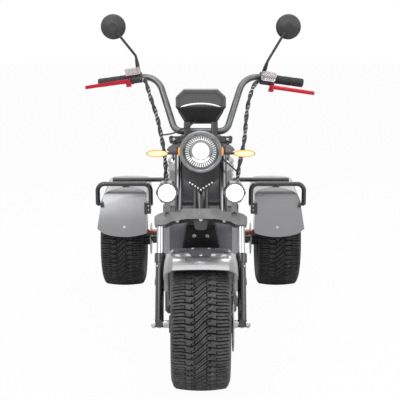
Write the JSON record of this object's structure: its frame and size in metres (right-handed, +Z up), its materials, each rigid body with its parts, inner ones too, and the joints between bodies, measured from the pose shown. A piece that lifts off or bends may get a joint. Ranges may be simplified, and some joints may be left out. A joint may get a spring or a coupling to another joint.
{
  "type": "three-wheeled electric chopper",
  "caption": "Fat-tyred electric chopper with one steered front wheel, two rear wheels, high handlebar, round headlight, spot lamps, saddle and hooped rear mudguards",
  "frame": {"origin": "on the ground, below the middle of the whole vehicle's box", "axes": "-Y is the way it drives, +Y the rear, +X the rider's left, +Z up"},
  "size_m": [1.017, 1.8799, 1.3605],
  "materials": {
    "tyre": "matt moulded rubber",
    "cast_wheel": "dark painted cast alloy",
    "disc_steel": "ground steel",
    "black_frame": "gloss black paint",
    "graphite_gloss": "gloss graphite paint",
    "dark_plastic": "grained black plastic",
    "seat_leather": "stitched black leatherette",
    "chrome": "polished chrome",
    "cast_dark": "dark satin cast alloy",
    "grip_rubber": "ribbed rubber",
    "red_anodised": "red anodised",
    "bright_nut": "zinc plated",
    "mirror_glass": "silvered glass",
    "clear_glass": "clear lens",
    "reflector": "bright vacuum plating",
    "amber_lens": "amber lens",
    "lit_lens": "lit white lens",
    "silver_rim": "satin silver",
    "display": "dark display glass",
    "red_lens": "red lens",
    "fluid_clear": "clear reservoir with pink fluid",
    "cable_black": "spiral wrap"
  },
  "bodies": {
    "chassis": {"head_tube": "black_frame", "front_panel": "graphite_gloss", "battery_case": "dark_plastic", "deck": "dark_plastic", "body_cover": "graphite_gloss", "seat": "seat_leather", "seat_frame": "black_frame", "rear_arms": "black_frame", "rear_axle": "black_frame", "rear_shocks": "chrome", "rear_fenders": "graphite_gloss", "fender_hoops": "black_frame", "cross_bar": "black_frame", "tail_lamp": "red_lens", "rear_calipers": "red_anodised"},
    "steering": {"fork_uprights": "chrome", "lower_yoke": "cast_dark", "upper_yoke": "cast_dark", "handlebar": "graphite_gloss", "grips": "grip_rubber", "control_perches": "dark_plastic", "brake_levers": "red_anodised", "fluid_reservoirs": "fluid_clear", "mirrors": "dark_plastic", "mirror_glasses": "mirror_glass", "instrument_housing": "dark_plastic", "instrument_display": "display", "headlight_shell": "dark_plastic", "headlight_rim": "silver_rim", "headlight_reflector": "reflector", "headlight_lens": "clear_glass", "turn_signals": "dark_plastic", "turn_signal_lenses": "amber_lens", "spot_lamps": "silver_rim", "spot_lamp_lenses": "lit_lens", "front_shroud": "dark_plastic", "fork_sliders": "black_frame", "fork_stanchions": "chrome", "front_axle": "bright_nut", "front_guard": "graphite_gloss", "front_caliper": "cast_dark", "cable_looms": "cable_black"},
    "front_wheel": {"front_tyre": "tyre", "front_rim": "cast_wheel", "front_disc": "disc_steel"},
    "rear_wheel_right": {"rear_tyre_right": "tyre", "rear_rim_right": "cast_wheel", "rear_disc_right": "disc_steel"},
    "rear_wheel_left": {"rear_tyre_left": "tyre", "rear_rim_left": "cast_wheel", "rear_disc_left": "disc_steel"}
  },
  "joints": [
    {"name": "steering", "type": "hinge", "parent": "chassis", "child": "steering", "pos_m": [0, -0.42708, 0.73063], "axis": [0, 0.4226, 0.9063], "range_deg": [-35, 35]},
    {"name": "front_wheel_spin", "type": "hinge", "parent": "steering", "child": "front_wheel", "pos_m": [0, -0.7, 0.24], "axis": [1, 0, 0], "continuous": true},
    {"name": "rear_wheel_right_spin", "type": "hinge", "parent": "chassis", "child": "rear_wheel_right", "pos_m": [-0.39, 0.63, 0.24], "axis": [1, 0, 0], "continuous": true},
    {"name": "rear_wheel_left_spin", "type": "hinge", "parent": "chassis", "child": "rear_wheel_left", "pos_m": [0.39, 0.63, 0.24], "axis": [1, 0, 0], "continuous": true}
  ]
}
